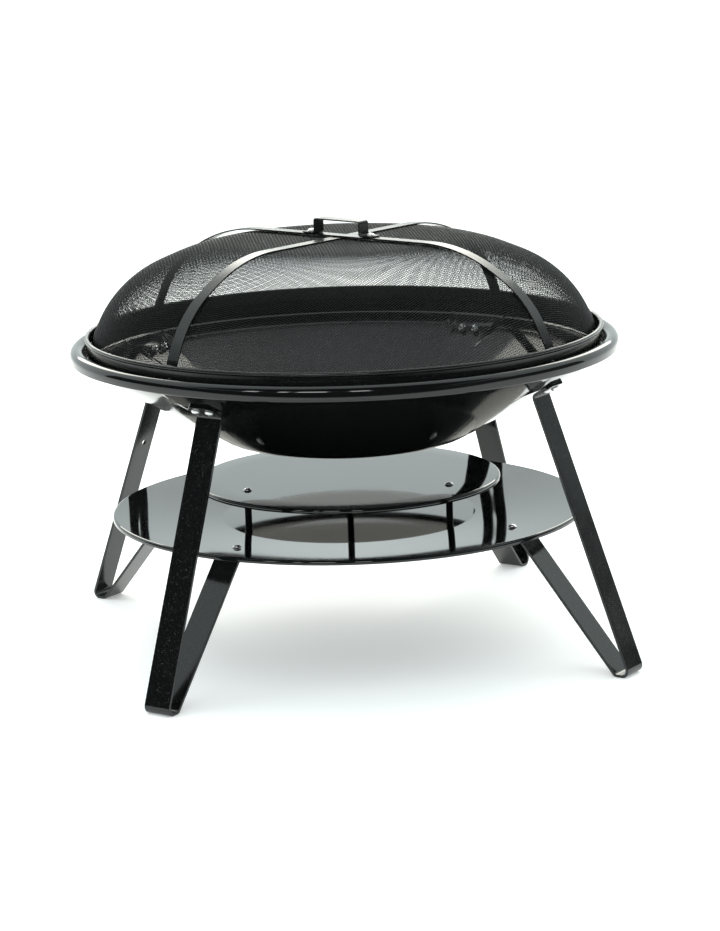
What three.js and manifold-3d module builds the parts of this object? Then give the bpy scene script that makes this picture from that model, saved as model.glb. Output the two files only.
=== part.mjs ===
// Fire pit with a domed spark lid, a log grate, four V-shaped legs, a lower shelf and a heat shield.
// Millimetres, +Z up. The origin is on the ground, under the middle of the bowl.
import * as THREE from 'three';
import { mergeVertices } from 'three/addons/utils/BufferGeometryUtils.js';
import Module from 'manifold-3d';

const wasm = await Module();
wasm.setup();

// ---------------------------------------------------------------- driving dimensions
const GAP = 0.3;                     // clearance kept between pieces that touch

// Bowl: pressed sheet, flat floor, sloping wall and a rolled rim
const BOWL_SHEET = 1.2;
const RIM_RADIUS = 380;              // outside of the rolled rim
const RIM_TOP = 427;                 // top of the rolled rim
const RIM_ROLL = 9.1;                // centreline radius of the roll
const RIM_LIP_END = 410;             // lower edge of the turned-down lip
const WALL_ANGLE = THREE.MathUtils.degToRad(31);
const WALL_REFERENCE = new THREE.Vector2(334, 388);   // a point on the outside of the wall
const FLOOR_BEND = 90;               // bend radius between floor and wall
const FLOOR_HEIGHT = 284.2;          // centreline of the floor
const PAD_DEPTH = 2;                 // flat pads pressed out of the wall for the legs
const PAD_INNER_RADIUS = 305;        // a pad's ends, as radii along the wall
const PAD_OUTER_RADIUS = 347;
const PAD_INNER_WIDTH = 46;
const PAD_OUTER_WIDTH = 92;

// Legs: flat strip bent into a V, with a flange at each end
const LEG_WIDTH = 40;
const LEG_SHEET = 4;
const LEG_FLANGE_TIP = 339;          // radii along the wall
const LEG_FLANGE_BEND = 312;
const LEG_FLANGE_CHAMFER = 7;
const FOOT_OUTER = 456;              // corners of the bent foot, before rounding
const FOOT_INNER = 434;
const FOOT_BEND = 8;
const SHELF_FLANGE_BEND = 282;
const SHELF_FLANGE_TIP = 252;
const LEG_HOLE_RADIUS = 4.2;         // spare holes in the rear legs
const LEG_HOLE_HEIGHTS = [126, 243];

// Lower shelf and heat shield
const SHELF_SHEET = 1.2;
const SHELF_RADIUS = 331;
const SHELF_TOP = 175;               // top of the flat middle
const SHELF_CREASE = 178;            // radius where the border starts to rise
const SHELF_RISE = 14;
const SLOPED_SEAT = 3 * GAP;        // room for a level bolt head or nut on the sloping border
const SHELF_LIP = 6;
const SHIELD_SHEET = 1.2;
const SHIELD_RADIUS = 212.5;
const SHIELD_TOP = 229;
const SHIELD_LIP = 6;
const POST_CIRCLE = 160;
const POST_ANGLES = [-161, -41, 79];
const POST_RADIUS = 4.8;

// Fasteners
const BOLT_RADIUS = 3;
const BOLT_HOLE = 3.5;
const BOLT_HEAD = 6.2;
const BOLT_HEAD_HEIGHT = 3.2;
const NUT_RADIUS = 5.8;              // across the corners
const NUT_HEIGHT = 4.6;
const BOLT_TAIL = 2.5;               // thread that shows past the nut
const BOWL_BOLT_RADIUS = 327;        // along the wall
const BOWL_BOLT_SPREAD = 11;         // each side of the leg's middle
const SHELF_BOLT_RADIUS = 267;

// Lid
const LID_TURN = -5.4;               // the lid is put on a few degrees round from the legs
const RING_INNER = 353.2;
const RING_SHEET = 1.6;
const RING_BOTTOM = 404.2;
const BEAD_RADIUS = 3.2;
const BEAD_CENTRE = new THREE.Vector2(355.6, 438.5);
const MESH_SHEET = 1.2;
const MESH_TOP = 563.5;
const MESH_BOTTOM = 424;
const MESH_RADIUS = 346.5;
const STRAP_WIDTH = 18;
const STRAP_SHEET = 2;
const STRAP_END_RADIUS = 350.2;
const STRAP_END = 414;
const RIVET_HEIGHT = 421;
const RIVET_RADIUS = 2.4;
const HANDLE_WIDTH = 20;
const HANDLE_SHEET = 2;
const HANDLE_SPAN = 41;              // half the distance between the outsides of the uprights
const HANDLE_FOOT = 61;
const HANDLE_SCREW = 52;
const HANDLE_TOP = 590;

// Log grate
const GRATE_RING = 176;
const GRATE_RING_WIDTH = 5;
const GRATE_RING_HEIGHT = 10;
const GRATE_BOTTOM = 299;
const GRATE_BAR_RADIUS = 4;
const GRATE_BAR_PITCH = 36;
const GRATE_BARS = 9;

const ROUND_SEGMENTS = 52;           // facets round the large turned parts
const SMALL_SEGMENTS = 8;            // facets round fasteners
const BEND_STEP = THREE.MathUtils.degToRad(32);
const BEND_SAG = 0.5;                // how far a chord may cut inside a wide bend

// ---------------------------------------------------------------- materials
const enamel = (color, roughness) => new THREE.MeshStandardMaterial({ color, roughness, metalness: 0.2 });
const glossBlack = enamel(0x0b0b0c, 0.12);
const mirrorBlack = enamel(0x141615, 0.06);
const meshBlack = enamel(0x101011, 0.4);
const grateBlack = enamel(0x17181a, 0.6);
const zinc = new THREE.MeshStandardMaterial({ color: 0xc9ccce, roughness: 0.3, metalness: 0.9 });

// ---------------------------------------------------------------- outlines
const point = (x, y) => new THREE.Vector2(x, y);

// A path through corners of { at, bend }, with each corner rounded to its bend radius.
function roundedPath(corners) {
  const path = [corners[0].at.clone()];
  for (let i = 1; i < corners.length - 1; i += 1) {
    const { at, bend } = corners[i];
    const back = corners[i - 1].at.clone().sub(at).normalize();
    const ahead = corners[i + 1].at.clone().sub(at).normalize();
    const turn = Math.PI - Math.acos(THREE.MathUtils.clamp(back.dot(ahead), -1, 1));
    const reach = bend * Math.tan(turn / 2);
    const middle = back.clone().add(ahead).normalize();
    const centre = middle.multiplyScalar(bend / Math.cos(turn / 2)).add(at);
    const spoke = back.multiplyScalar(reach).add(at).sub(centre);
    const end = ahead.clone().multiplyScalar(reach).add(at).sub(centre);
    const sweep = Math.sign(spoke.cross(end)) * turn;
    const step = Math.min(BEND_STEP, 2 * Math.acos(1 - BEND_SAG / bend));
    const steps = Math.max(1, Math.ceil(turn / step));
    for (let k = 0; k <= steps; k += 1) {
      path.push(spoke.clone().rotateAround(point(0, 0), (sweep * k) / steps).add(centre));
    }
  }
  path.push(corners[corners.length - 1].at.clone());
  return path;
}

// The closed outline of a sheet of even thickness that follows a path, square at both ends.
function sheetOutline(path, thickness) {
  const left = [];
  const right = [];
  path.forEach((at, i) => {
    const before = path[Math.max(i - 1, 0)];
    const after = path[Math.min(i + 1, path.length - 1)];
    const into = at.clone().sub(before).normalize();
    const out = after.clone().sub(at).normalize();
    const along = into.clone().add(out).normalize();
    const miter = thickness / 2 / Math.max(along.dot(i === 0 ? out : into), 0.5);
    const side = point(-along.y, along.x).multiplyScalar(miter);
    left.push(at.clone().add(side));
    right.push(at.clone().sub(side));
  });
  return right.concat(left.reverse());
}

// ---------------------------------------------------------------- solids
// A solid turned about Z from a closed outline of (radius, height) points.
function turned(outline, segments) {
  const ring = THREE.ShapeUtils.isClockWise(outline) ? outline.slice().reverse() : outline.slice();
  ring.push(ring[0].clone());
  return new THREE.LatheGeometry(ring, segments).rotateX(Math.PI / 2).rotateZ(Math.PI / 2);
}

// A sheet pressed or spun about Z, from the axis or an inner edge outwards.
function spunSheet(path, thickness, segments = ROUND_SEGMENTS) {
  const outline = sheetOutline(path, thickness);
  outline.forEach((p) => { p.x = Math.max(p.x, 0); });
  return turned(outline, segments);
}

// A strip bent along a path in the plane of radius (X) and height (Z), its width along Y.
function bentStrip(path, thickness, width) {
  const shape = new THREE.Shape(sheetOutline(path, thickness));
  const strip = new THREE.ExtrudeGeometry(shape, { depth: width, bevelEnabled: false });
  return strip.rotateX(Math.PI / 2).translate(0, width / 2, 0);
}

// A round pin along Z from z0 to z1.
function pin(radius, z0, z1, segments = SMALL_SEGMENTS) {
  return new THREE.CylinderGeometry(radius, radius, z1 - z0, segments)
    .rotateX(Math.PI / 2)
    .translate(0, 0, (z0 + z1) / 2);
}

// A bolt along Z: a pan head above z = 0 and a shank below it.
function bolt(length) {
  const shoulder = BOLT_HEAD_HEIGHT * 0.45;
  return turned([
    point(0, -length),
    point(BOLT_RADIUS, -length),
    point(BOLT_RADIUS, 0),
    point(BOLT_HEAD, 0),
    point(BOLT_HEAD, shoulder),
    point(BOLT_HEAD * 0.62, BOLT_HEAD_HEIGHT),
    point(0, BOLT_HEAD_HEIGHT),
  ], SMALL_SEGMENTS);
}

// A hex nut along Z, its upper face at z = 0 unless it stands on z = 0.
function nut(stands = false) {
  const hexagon = new THREE.Shape();
  for (let i = 0; i < 6; i += 1) {
    const angle = (i * Math.PI) / 3;
    hexagon[i === 0 ? 'moveTo' : 'lineTo'](NUT_RADIUS * Math.cos(angle), NUT_RADIUS * Math.sin(angle));
  }
  hexagon.closePath();
  const bore = new THREE.Path();
  bore.absarc(0, 0, BOLT_HOLE, 0, 2 * Math.PI, true);
  hexagon.holes.push(bore);
  const settings = { depth: NUT_HEIGHT, bevelEnabled: false, curveSegments: 5 };
  return new THREE.ExtrudeGeometry(hexagon, settings).translate(0, 0, stands ? 0 : -NUT_HEIGHT);
}

// ---------------------------------------------------------------- joining and cutting
function toSolid(geometry) {
  const bare = geometry.index ? geometry.toNonIndexed() : geometry.clone();
  bare.deleteAttribute('normal');
  bare.deleteAttribute('uv');
  const merged = mergeVertices(bare, 1e-4);
  return new wasm.Manifold(new wasm.Mesh({
    numProp: 3,
    vertProperties: new Float32Array(merged.attributes.position.array),
    triVerts: new Uint32Array(merged.index.array),
  }));
}

function toGeometry(solid) {
  const { vertProperties, triVerts } = solid.getMesh();
  const geometry = new THREE.BufferGeometry();
  geometry.setAttribute('position', new THREE.BufferAttribute(vertProperties, 3));
  geometry.setIndex(new THREE.BufferAttribute(triVerts, 1));
  return geometry;
}

function cut(geometry, cutters) {
  const solid = cutters.reduce((rest, cutter) => rest.subtract(toSolid(cutter)), toSolid(geometry));
  return toGeometry(solid);
}

function join(geometries) {
  return toGeometry(geometries.map(toSolid).reduce((all, piece) => all.add(piece)));
}

// ---------------------------------------------------------------- places
const radians = THREE.MathUtils.degToRad;
const LEGS = [
  { name: 'front_left', azimuth: -135 },
  { name: 'front_right', azimuth: -45 },
  { name: 'rear_right', azimuth: 45 },
  { name: 'rear_left', azimuth: 135 },
];

// The point at a radius along the outside of the bowl's wall, moved outwards by an offset.
function onWall(radius, offset = 0) {
  const height = WALL_REFERENCE.y + (radius - WALL_REFERENCE.x) * Math.tan(WALL_ANGLE);
  return point(radius + offset * Math.sin(WALL_ANGLE), height - offset * Math.cos(WALL_ANGLE));
}

// Turns a geometry whose +Z is the wall's inward normal into place at a radius and offset.
function placeOnWall(geometry, radius, offset, side = 0) {
  const at = onWall(radius, offset);
  return geometry.rotateY(-WALL_ANGLE).translate(at.x, side, at.y);
}

// The height of the shelf's underside on its rising border.
function shelfUnderside(radius) {
  const rise = ((radius - SHELF_CREASE) * SHELF_RISE) / (SHELF_RADIUS - SHELF_CREASE);
  return SHELF_TOP - SHELF_SHEET + rise;
}

const group = new THREE.Group();

function add(name, geometry, material, parent = group) {
  const mesh = new THREE.Mesh(geometry, material);
  mesh.name = name;
  parent.add(mesh);
  return mesh;
}

// ---------------------------------------------------------------- bowl
function bowlGeometry() {
  const skin = BOWL_SHEET / 2;
  const riser = RIM_RADIUS - skin - 2 * RIM_ROLL;
  const wallFoot = (FLOOR_HEIGHT - onWall(0, -skin).y) / Math.tan(WALL_ANGLE);
  const wallHead = onWall(riser, -skin);
  const path = roundedPath([
    { at: point(0, FLOOR_HEIGHT) },
    { at: point(wallFoot, FLOOR_HEIGHT), bend: FLOOR_BEND },
    { at: point(riser, wallHead.y), bend: 5 },
    { at: point(riser, RIM_TOP - skin), bend: RIM_ROLL - 0.05 },
    { at: point(RIM_RADIUS - skin, RIM_TOP - skin), bend: RIM_ROLL - 0.05 },
    { at: point(RIM_RADIUS - skin, RIM_LIP_END) },
  ]);
  const shell = spunSheet(path, BOWL_SHEET);
  const padLength = (PAD_OUTER_RADIUS - PAD_INNER_RADIUS) / Math.cos(WALL_ANGLE);
  const padShape = new THREE.Shape([
    point(0, -PAD_INNER_WIDTH / 2),
    point(padLength, -PAD_OUTER_WIDTH / 2),
    point(padLength, PAD_OUTER_WIDTH / 2),
    point(0, PAD_INNER_WIDTH / 2),
  ]);
  // A pad is a flat-bottomed block, cut back to the middle of the sheet.
  const wall = path.filter(({ x, y }) => x < riser + GAP && y < RIM_LIP_END);
  const inside = turned([point(0, RIM_TOP), ...wall, point(riser, RIM_TOP)], ROUND_SEGMENTS);
  const pads = LEGS.map(({ azimuth }) => {
    const block = new THREE.ExtrudeGeometry(padShape, { depth: 12, bevelEnabled: false });
    return cut(placeOnWall(block, PAD_INNER_RADIUS, PAD_DEPTH).rotateZ(radians(azimuth)), [inside]);
  });
  const holes = LEGS.flatMap(({ azimuth }) => [-1, 1].map((side) => {
    const hole = pin(BOLT_HOLE, -12, 12);
    return placeOnWall(hole, BOWL_BOLT_RADIUS, 0, side * BOWL_BOLT_SPREAD).rotateZ(radians(azimuth));
  }));
  return cut(join([shell, ...pads]), holes);
}

// ---------------------------------------------------------------- legs
const LEG_OFFSET = PAD_DEPTH + GAP + LEG_SHEET / 2;

function legGeometry(spareHoles) {
  const underShelf = (radius) => point(radius, shelfUnderside(radius) - GAP - LEG_SHEET / 2);
  const path = roundedPath([
    { at: onWall(LEG_FLANGE_TIP, LEG_OFFSET) },
    { at: onWall(LEG_FLANGE_BEND, LEG_OFFSET), bend: 6 },
    { at: point(FOOT_OUTER, LEG_SHEET / 2), bend: FOOT_BEND },
    { at: point(FOOT_INNER, LEG_SHEET / 2), bend: FOOT_BEND },
    { at: underShelf(SHELF_FLANGE_BEND), bend: 8 },
    { at: underShelf(SHELF_FLANGE_TIP) },
  ]);
  const cutters = [];
  for (const side of [-1, 1]) {
    const hole = pin(BOLT_HOLE, -12, 12);
    cutters.push(placeOnWall(hole, BOWL_BOLT_RADIUS, LEG_OFFSET, side * BOWL_BOLT_SPREAD));
    const size = LEG_FLANGE_CHAMFER * Math.SQRT2;
    const corner = new THREE.BoxGeometry(size, size, 12).rotateZ(Math.PI / 4);
    cutters.push(placeOnWall(corner, LEG_FLANGE_TIP, LEG_OFFSET, (side * LEG_WIDTH) / 2));
  }
  const shelfHole = pin(BOLT_HOLE, -12, 12).translate(SHELF_BOLT_RADIUS, 0, SHELF_TOP);
  cutters.push(shelfHole);
  if (spareHoles) {
    const top = onWall(LEG_FLANGE_BEND, LEG_OFFSET);
    const heel = LEG_SHEET / 2;
    const lean = (FOOT_OUTER - top.x) / (top.y - heel);
    for (const height of LEG_HOLE_HEIGHTS) {
      const hole = pin(LEG_HOLE_RADIUS, -12, 12).rotateY(Math.PI / 2 - Math.atan(lean));
      cutters.push(hole.translate(FOOT_OUTER - (height - heel) * lean, 0, height));
    }
  }
  return cut(bentStrip(path, LEG_SHEET, LEG_WIDTH), cutters);
}

// ---------------------------------------------------------------- shelf and heat shield
function aroundAxis(geometryAt, angles) {
  return angles.map((angle) => geometryAt().rotateZ(radians(angle)));
}

function shelfGeometry() {
  const skin = SHELF_SHEET / 2;
  const edge = SHELF_RADIUS - skin;
  const shell = spunSheet(roundedPath([
    { at: point(0, SHELF_TOP - skin) },
    { at: point(SHELF_CREASE, SHELF_TOP - skin), bend: 60 },
    { at: point(edge, SHELF_TOP + SHELF_RISE - skin), bend: 3 },
    { at: point(edge, SHELF_TOP + SHELF_RISE - SHELF_LIP) },
  ]), SHELF_SHEET);
  const hole = (radius) => () => pin(BOLT_HOLE, -12, 12).translate(radius, 0, SHELF_TOP);
  return cut(shell, [
    ...aroundAxis(hole(SHELF_BOLT_RADIUS), LEGS.map(({ azimuth }) => azimuth)),
    ...aroundAxis(hole(POST_CIRCLE), POST_ANGLES),
  ]);
}

function shieldGeometry() {
  const skin = SHIELD_SHEET / 2;
  const edge = SHIELD_RADIUS - skin;
  const shell = spunSheet(roundedPath([
    { at: point(0, SHIELD_TOP - skin) },
    { at: point(edge, SHIELD_TOP - skin), bend: 3 },
    { at: point(edge, SHIELD_TOP - SHIELD_LIP) },
  ]), SHIELD_SHEET);
  const hole = () => pin(BOLT_HOLE, -12, 12).translate(POST_CIRCLE, 0, SHIELD_TOP);
  return cut(shell, aroundAxis(hole, POST_ANGLES));
}

// ---------------------------------------------------------------- lid
function ringGeometry() {
  const band = [
    point(RING_INNER, RING_BOTTOM),
    point(RING_INNER + RING_SHEET, RING_BOTTOM),
  ];
  const start = radians(-110);
  const end = radians(150);
  const steps = 6;
  for (let k = 0; k <= steps; k += 1) {
    const angle = start + ((end - start) * k) / steps;
    band.push(point(Math.cos(angle), Math.sin(angle)).multiplyScalar(BEAD_RADIUS).add(BEAD_CENTRE));
  }
  band.push(point(RING_INNER, BEAD_CENTRE.y - BEAD_RADIUS / 2));
  const holes = aroundAxis(
    () => pin(RIVET_RADIUS + GAP, -8, 8).rotateY(Math.PI / 2).translate(RING_INNER, 0, RIVET_HEIGHT),
    LEGS.map(({ azimuth }) => azimuth),
  );
  return cut(turned(band, ROUND_SEGMENTS), holes);
}

function meshGeometry() {
  const skin = MESH_SHEET / 2;
  const shell = spunSheet(roundedPath([
    { at: point(0, MESH_TOP - skin) },
    { at: point(176, MESH_TOP - skin), bend: 280 },
    { at: point(310, 515), bend: 155 },
    { at: point(MESH_RADIUS - skin, 441), bend: 9 },
    { at: point(MESH_RADIUS - skin, MESH_BOTTOM) },
  ]), MESH_SHEET);
  const holes = [-1, 1].map((side) => pin(BOLT_HOLE, -20, 20).translate(side * HANDLE_SCREW, 0, MESH_TOP));
  return cut(shell, holes.map((hole) => hole.rotateZ(radians(-45))));
}

// One strap over the dome, with its middle at a height, along X.
function strapGeometry(height) {
  const half = [
    { at: point(212, height), bend: 230 },
    { at: point(318.5, 504.5), bend: 150 },
    { at: point(STRAP_END_RADIUS, 443), bend: 20 },
    { at: point(STRAP_END_RADIUS, STRAP_END), bend: 0 },
  ];
  const other = half.slice().reverse().map(({ at, bend }) => ({ at: point(-at.x, at.y), bend }));
  const strip = bentStrip(roundedPath([...other, ...half]), STRAP_SHEET, STRAP_WIDTH);
  const rivetHoles = [0, 180].map((angle) => pin(RIVET_RADIUS + GAP, -8, 8)
    .rotateY(Math.PI / 2)
    .translate(STRAP_END_RADIUS, 0, RIVET_HEIGHT)
    .rotateZ(radians(angle)));
  const screwHoles = [-1, 1].map((side) => pin(BOLT_HOLE, -20, 20).translate(side * HANDLE_SCREW, 0, height));
  return { strip, rivetHoles, screwHoles };
}

const LOWER_STRAP = MESH_TOP + GAP + STRAP_SHEET / 2;
const UPPER_STRAP = LOWER_STRAP + STRAP_SHEET + GAP;
const HANDLE_SEAT = UPPER_STRAP + STRAP_SHEET / 2 + GAP;

function handleGeometry() {
  const skin = HANDLE_SHEET / 2;
  const half = [
    { at: point(HANDLE_SPAN - skin, HANDLE_TOP - skin), bend: 3 },
    { at: point(HANDLE_SPAN - skin, HANDLE_SEAT + skin), bend: 3 },
    { at: point(HANDLE_FOOT, HANDLE_SEAT + skin), bend: 0 },
  ];
  const other = half.slice().reverse().map(({ at, bend }) => ({ at: point(-at.x, at.y), bend }));
  const strip = bentStrip(roundedPath([...other, ...half]), HANDLE_SHEET, HANDLE_WIDTH);
  return cut(strip, [-1, 1].map((side) => pin(BOLT_HOLE, -8, 8).translate(side * HANDLE_SCREW, 0, HANDLE_SEAT)));
}

function rivetGeometry() {
  const inner = STRAP_END_RADIUS - STRAP_SHEET / 2 - GAP;
  const outer = RING_INNER + RING_SHEET + GAP;
  const head = RIVET_RADIUS * 1.8;
  return turned([
    point(0, inner - 1.4),
    point(head, inner - 1.4),
    point(head, inner),
    point(RIVET_RADIUS, inner),
    point(RIVET_RADIUS, outer),
    point(head, outer),
    point(head * 0.6, outer + 1.4),
    point(0, outer + 1.4),
  ], SMALL_SEGMENTS).rotateY(Math.PI / 2).translate(0, 0, RIVET_HEIGHT);
}

// ---------------------------------------------------------------- log grate
function grateGeometry() {
  const hoop = turned([
    point(GRATE_RING - GRATE_RING_WIDTH, GRATE_BOTTOM),
    point(GRATE_RING, GRATE_BOTTOM),
    point(GRATE_RING, GRATE_BOTTOM + GRATE_RING_HEIGHT),
    point(GRATE_RING - GRATE_RING_WIDTH, GRATE_BOTTOM + GRATE_RING_HEIGHT),
  ], ROUND_SEGMENTS);
  const middle = GRATE_RING - GRATE_RING_WIDTH / 2;
  const height = GRATE_BOTTOM + GRATE_RING_HEIGHT + GRATE_BAR_RADIUS * 0.4;
  const bars = [];
  for (let i = 0; i < GRATE_BARS; i += 1) {
    const offset = (i - (GRATE_BARS - 1) / 2) * GRATE_BAR_PITCH;
    const half = Math.sqrt(middle ** 2 - offset ** 2);
    bars.push(pin(GRATE_BAR_RADIUS, -half, half, 8).rotateX(Math.PI / 2).translate(offset, 0, height));
  }
  const tie = pin(GRATE_BAR_RADIUS, -middle, middle, 8).rotateY(Math.PI / 2);
  tie.translate(0, 0, height - GRATE_BAR_RADIUS * 1.2);
  return join([hoop, ...bars, tie]);
}

// ---------------------------------------------------------------- assembly
add('bowl', bowlGeometry(), glossBlack);
add('shelf_plate', shelfGeometry(), mirrorBlack);
add('heat_shield', shieldGeometry(), mirrorBlack);
add('fire_grate', grateGeometry(), grateBlack);

for (const { name, azimuth } of LEGS) {
  const corner = new THREE.Group();
  corner.rotation.z = radians(azimuth);
  group.add(corner);
  add(`leg_${name}`, legGeometry(name.startsWith('rear')), glossBlack, corner);

  const grip = PAD_DEPTH + GAP + LEG_SHEET;
  [-1, 1].forEach((side, i) => {
    const length = grip + BOWL_SHEET + 2 * GAP + NUT_HEIGHT + BOLT_TAIL;
    const spread = side * BOWL_BOLT_SPREAD;
    const upwards = bolt(length).rotateX(Math.PI);
    add(`bowl_bolt_${name}_${i + 1}`, placeOnWall(upwards, BOWL_BOLT_RADIUS, grip + GAP, spread), zinc, corner);
    const nutSeat = -BOWL_SHEET - GAP;
    add(`bowl_nut_${name}_${i + 1}`, placeOnWall(nut(true), BOWL_BOLT_RADIUS, nutSeat, spread), zinc, corner);
  });

  const shelfTop = shelfUnderside(SHELF_BOLT_RADIUS) + SHELF_SHEET;
  const flangeBottom = shelfTop - SHELF_SHEET - GAP - LEG_SHEET;
  const length = shelfTop + SLOPED_SEAT - flangeBottom + NUT_HEIGHT + BOLT_TAIL;
  add(`shelf_bolt_${name}`, bolt(length), zinc, corner)
    .position.set(SHELF_BOLT_RADIUS, 0, shelfTop + SLOPED_SEAT);
  add(`shelf_nut_${name}`, nut(), zinc, corner)
    .position.set(SHELF_BOLT_RADIUS, 0, flangeBottom - SLOPED_SEAT);
}

POST_ANGLES.forEach((angle, i) => {
  const corner = new THREE.Group();
  corner.rotation.z = radians(angle);
  group.add(corner);
  const top = SHIELD_TOP - SHIELD_SHEET - GAP;
  const underside = SHELF_TOP - SHELF_SHEET;
  const post = cut(pin(POST_RADIUS, SHELF_TOP + GAP, top, 12), [pin(BOLT_HOLE, SHELF_TOP - 5, top + 5, 12)]);
  const length = SHIELD_TOP + GAP - underside + NUT_HEIGHT + BOLT_TAIL;
  add(`shield_post_${i + 1}`, post, glossBlack, corner).position.set(POST_CIRCLE, 0, 0);
  add(`shield_bolt_${i + 1}`, bolt(length), zinc, corner).position.set(POST_CIRCLE, 0, SHIELD_TOP + GAP);
  add(`shield_nut_${i + 1}`, nut(), zinc, corner).position.set(POST_CIRCLE, 0, underside - GAP);
});

const lid = new THREE.Group();
lid.rotation.z = radians(LID_TURN);
group.add(lid);
add('lid_ring', ringGeometry(), glossBlack, lid);
add('lid_mesh', meshGeometry(), meshBlack, lid);

const lower = strapGeometry(LOWER_STRAP);
const upper = strapGeometry(UPPER_STRAP);
add('lid_strap_lower', cut(lower.strip, lower.rivetHoles), glossBlack, lid).rotation.z = radians(45);
add('lid_strap_upper', cut(upper.strip, [...upper.rivetHoles, ...upper.screwHoles]), glossBlack, lid)
  .rotation.z = radians(-45);
LEGS.forEach(({ name, azimuth }) => {
  add(`strap_rivet_${name}`, rivetGeometry(), glossBlack, lid).rotation.z = radians(azimuth);
});

const handle = new THREE.Group();
handle.rotation.z = radians(-45);
lid.add(handle);
add('lid_handle', handleGeometry(), glossBlack, handle);
[-1, 1].forEach((side, i) => {
  const seat = HANDLE_SEAT + HANDLE_SHEET + GAP;
  const nutTop = MESH_TOP - MESH_SHEET - GAP;
  const length = seat - nutTop + NUT_HEIGHT + BOLT_TAIL;
  add(`handle_screw_${i + 1}`, bolt(length), zinc, handle).position.set(side * HANDLE_SCREW, 0, seat);
  add(`handle_nut_${i + 1}`, nut(), zinc, handle).position.set(side * HANDLE_SCREW, 0, nutTop);
});

export default group;
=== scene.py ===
# The looks of a fire pit with a domed spark lid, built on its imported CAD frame.
# Shapes are worked out in millimetres and turned into metres as each piece is made.
import math

import bmesh
import bpy
import numpy as np
from mathutils import Matrix, Vector, noise


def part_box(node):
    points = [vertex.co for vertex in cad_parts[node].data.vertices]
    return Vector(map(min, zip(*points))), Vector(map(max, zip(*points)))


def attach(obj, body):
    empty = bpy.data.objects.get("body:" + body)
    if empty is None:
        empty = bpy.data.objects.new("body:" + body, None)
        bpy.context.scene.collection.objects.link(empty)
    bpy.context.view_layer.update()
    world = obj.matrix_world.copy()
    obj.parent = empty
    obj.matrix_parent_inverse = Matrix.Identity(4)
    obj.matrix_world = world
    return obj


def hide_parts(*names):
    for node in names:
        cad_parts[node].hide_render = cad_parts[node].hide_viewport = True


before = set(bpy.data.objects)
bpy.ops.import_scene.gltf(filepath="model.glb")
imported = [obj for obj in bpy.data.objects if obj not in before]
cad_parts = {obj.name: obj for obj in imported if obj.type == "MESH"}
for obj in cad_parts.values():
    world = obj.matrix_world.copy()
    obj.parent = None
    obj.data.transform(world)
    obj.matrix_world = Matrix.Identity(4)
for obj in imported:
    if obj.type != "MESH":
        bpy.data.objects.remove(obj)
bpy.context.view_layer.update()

MM = 0.001

# ---------------------------------------------------------------- sizes, in millimetres
def lowest(node):
    """The height of a node's lowest point."""
    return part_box(node)[0][2] / MM


def highest(node, axis=2):
    """The furthest that a node reaches along an axis, which is its height unless another is given."""
    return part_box(node)[1][axis] / MM


GAP = 0.3                            # kept between pieces that touch

# Bowl
BOWL_SHEET = 1.2
BOWL_SKIN = BOWL_SHEET / 2
RIM_RADIUS = highest("bowl", 0)
RIM_TOP = highest("bowl")
RIM_ROLL = 9.1                       # centreline radius of the rolled rim
RIM_LIP = 17                         # how far the turned-down lip reaches below the rim's top
RIM_FOOT_BEND = 5                    # between the wall and the upright that carries the rim
WALL_ANGLE = math.radians(31)
WALL_REFERENCE = (334, RIM_TOP - 39)  # a point on the outside of the wall
FLOOR_BEND = 90                      # between the floor and the wall
FLOOR_HEIGHT = lowest("bowl") + BOWL_SKIN
PAD_DEPTH = 2                        # flats pressed into the wall behind the legs
PAD_RADII = (305, 347)               # where a flat starts and ends, out along the wall
PAD_HALF_WIDTHS = (23, 46)           # half its width at each of those
PAD_CREASE = 4.5                     # width of the soft crease round a flat

# Legs
LEG_WIDTH = 40
LEG_SHEET = 4
LEG_OFFSET = PAD_DEPTH + GAP + LEG_SHEET / 2
LEG_FLANGE_TIP = 339                 # radii, out along the wall
LEG_FLANGE_BEND = 312
LEG_CHAMFER = 7
LEG_TOP_BEND = 6                     # bend radius under the bowl
LEG_BEND = 8                         # bend radius of the foot and under the shelf
FOOT_OUTER = 456
FOOT_INNER = 434
SHELF_FLANGE_BEND = 282
SHELF_FLANGE_TIP = 252
SPARE_HOLE = 4.2                     # radius of the spare holes in the rear legs
SPARE_HOLE_HEIGHTS = (126, 243)
LEGS = {"front_left": -135, "front_right": -45, "rear_right": 45, "rear_left": 135}

# Shelf and heat shield
SHEET = 1.2
SHELF_RADIUS = highest("shelf_plate", 0)
SHELF_RISE = 14                      # how far the sloping border rises
SHELF_TOP = highest("shelf_plate") - SHELF_RISE
SHELF_CREASE = 178                   # radius where the border starts to rise
SHELF_CREASE_BEND = 60
SLOPED_SEAT = 3 * GAP                # room for a level bolt head or nut on the sloping border
SHIELD_RADIUS = highest("heat_shield", 0)
SHIELD_TOP = highest("heat_shield")
EDGE_LIP = 6                         # depth of the turned-down edge of either disc
EDGE_BEND = 3
POST_CIRCLE = 160
POST_ANGLES = (-161, -41, 79)
POST_RADIUS = 4.8

# Fasteners
BOLT_RADIUS = 3
THREAD_PITCH = 1.0
THREAD_DEPTH = 0.45
HEAD_RADIUS = 6.2
HEAD_HEIGHT = 3.2
WASHER_HEIGHT = 0.7
NUT_RADIUS = 5.8                     # to the corners
NUT_HEIGHT = 4.6
BOLT_TAIL = 2.5                      # how far a bolt comes through its nut
BOWL_BOLT_RADIUS = 327
BOWL_BOLT_SPREAD = 11                # from a leg's middle to each of its two bolts
SHELF_BOLT_RADIUS = 267

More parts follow.
